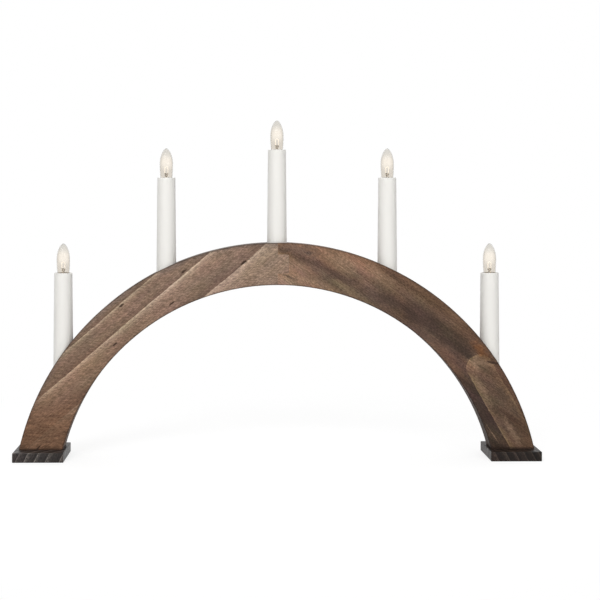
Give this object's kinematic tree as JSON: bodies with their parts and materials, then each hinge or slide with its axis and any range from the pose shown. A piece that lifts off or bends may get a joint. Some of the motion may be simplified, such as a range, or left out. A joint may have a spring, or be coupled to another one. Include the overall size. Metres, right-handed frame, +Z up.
{
  "type": "candle arch",
  "caption": "Wooden arch on dark block feet carrying electric candle sleeves with flame-shaped screw-in lamps, for a window sill.",
  "frame": {"origin": "on the table, under the middle of the arch and midway between its faces", "axes": "+X to the right seen from the front, +Y to the back, +Z up"},
  "size_m": [0.51, 0.06, 0.33],
  "materials": {
    "arch_wood": "brown stain, open grain, matt",
    "foot_wood": "dark grey stain, matt",
    "sleeve_plastic": "white moulded, satin",
    "holder_plastic": "white moulded",
    "contact_brass": "pressed sheet",
    "cap_brass": "rolled thread, bright",
    "cap_insulator": "black fused glass",
    "solder": "tin solder",
    "lamp_glass": "clear blown glass",
    "stem_glass": "pressed glass",
    "filament": "glowing wire",
    "screw_steel": "zinc plated",
    "wire_insulation": "brown insulation",
    "splice_sleeve": "black shrink sleeve",
    "clip_plastic": "dark brown moulded"
  },
  "bodies": {
    "arch": {"arch_left": "arch_wood", "arch_right": "arch_wood", "foot_left": "foot_wood", "foot_right": "foot_wood", "foot_screws": "screw_steel", "candle_sleeve_1": "sleeve_plastic", "lamp_holder_1": "holder_plastic", "screw_shell_1": "contact_brass", "centre_contact_1": "contact_brass", "candle_sleeve_2": "sleeve_plastic", "lamp_holder_2": "holder_plastic", "screw_shell_2": "contact_brass", "centre_contact_2": "contact_brass", "candle_sleeve_3": "sleeve_plastic", "lamp_holder_3": "holder_plastic", "screw_shell_3": "contact_brass", "centre_contact_3": "contact_brass", "candle_sleeve_4": "sleeve_plastic", "lamp_holder_4": "holder_plastic", "screw_shell_4": "contact_brass", "centre_contact_4": "contact_brass", "candle_sleeve_5": "sleeve_plastic", "lamp_holder_5": "holder_plastic", "screw_shell_5": "contact_brass", "centre_contact_5": "contact_brass", "series_wiring": "wire_insulation", "lead_splices": "splice_sleeve", "wiring_clips": "clip_plastic"},
    "lamp_foot_1": {"bulb_tip_1": "solder", "bulb_insulator_1": "cap_insulator"},
    "lamp_1": {"bulb_glass_1": "lamp_glass", "bulb_cap_1": "cap_brass", "bulb_stem_1": "stem_glass", "bulb_filament_1": "filament"},
    "lamp_foot_2": {"bulb_tip_2": "solder", "bulb_insulator_2": "cap_insulator"},
    "lamp_2": {"bulb_glass_2": "lamp_glass", "bulb_cap_2": "cap_brass", "bulb_stem_2": "stem_glass", "bulb_filament_2": "filament"},
    "lamp_foot_3": {"bulb_tip_3": "solder", "bulb_insulator_3": "cap_insulator"},
    "lamp_3": {"bulb_glass_3": "lamp_glass", "bulb_cap_3": "cap_brass", "bulb_stem_3": "stem_glass", "bulb_filament_3": "filament"},
    "lamp_foot_4": {"bulb_tip_4": "solder", "bulb_insulator_4": "cap_insulator"},
    "lamp_4": {"bulb_glass_4": "lamp_glass", "bulb_cap_4": "cap_brass", "bulb_stem_4": "stem_glass", "bulb_filament_4": "filament"},
    "lamp_foot_5": {"bulb_tip_5": "solder", "bulb_insulator_5": "cap_insulator"},
    "lamp_5": {"bulb_glass_5": "lamp_glass", "bulb_cap_5": "cap_brass", "bulb_stem_5": "stem_glass", "bulb_filament_5": "filament"}
  },
  "joints": [
    {"name": "lamp_lift_1", "type": "slide", "parent": "arch", "child": "lamp_foot_1", "axis": [0, 0, 1], "range_m": [0, 0.00726]},
    {"name": "lamp_turn_1", "type": "hinge", "parent": "lamp_foot_1", "child": "lamp_1", "pos_m": [-0.20948, 0, 0.2], "axis": [0, 0, 1], "range_deg": [0, 1440]},
    {"name": "lamp_lift_2", "type": "slide", "parent": "arch", "child": "lamp_foot_2", "axis": [0, 0, 1], "range_m": [0, 0.00726]},
    {"name": "lamp_turn_2", "type": "hinge", "parent": "lamp_foot_2", "child": "lamp_2", "pos_m": [-0.10856, 0, 0.2], "axis": [0, 0, 1], "range_deg": [0, 1440]},
    {"name": "lamp_lift_3", "type": "slide", "parent": "arch", "child": "lamp_foot_3", "axis": [0, 0, 1], "range_m": [0, 0.00726]},
    {"name": "lamp_turn_3", "type": "hinge", "parent": "lamp_foot_3", "child": "lamp_3", "pos_m": [0, 0, 0.2], "axis": [0, 0, 1], "range_deg": [0, 1440]},
    {"name": "lamp_lift_4", "type": "slide", "parent": "arch", "child": "lamp_foot_4", "axis": [0, 0, 1], "range_m": [0, 0.00726]},
    {"name": "lamp_turn_4", "type": "hinge", "parent": "lamp_foot_4", "child": "lamp_4", "pos_m": [0.10856, 0, 0.2], "axis": [0, 0, 1], "range_deg": [0, 1440]},
    {"name": "lamp_lift_5", "type": "slide", "parent": "arch", "child": "lamp_foot_5", "axis": [0, 0, 1], "range_m": [0, 0.00726]},
    {"name": "lamp_turn_5", "type": "hinge", "parent": "lamp_foot_5", "child": "lamp_5", "pos_m": [0.20948, 0, 0.2], "axis": [0, 0, 1], "range_deg": [0, 1440]}
  ],
  "couplings": [
    {"joint": "lamp_lift_1", "follows": "lamp_turn_1", "m_per_rad": 0.00028871},
    {"joint": "lamp_lift_2", "follows": "lamp_turn_2", "m_per_rad": 0.00028871},
    {"joint": "lamp_lift_3", "follows": "lamp_turn_3", "m_per_rad": 0.00028871},
    {"joint": "lamp_lift_4", "follows": "lamp_turn_4", "m_per_rad": 0.00028871},
    {"joint": "lamp_lift_5", "follows": "lamp_turn_5", "m_per_rad": 0.00028871}
  ]
}
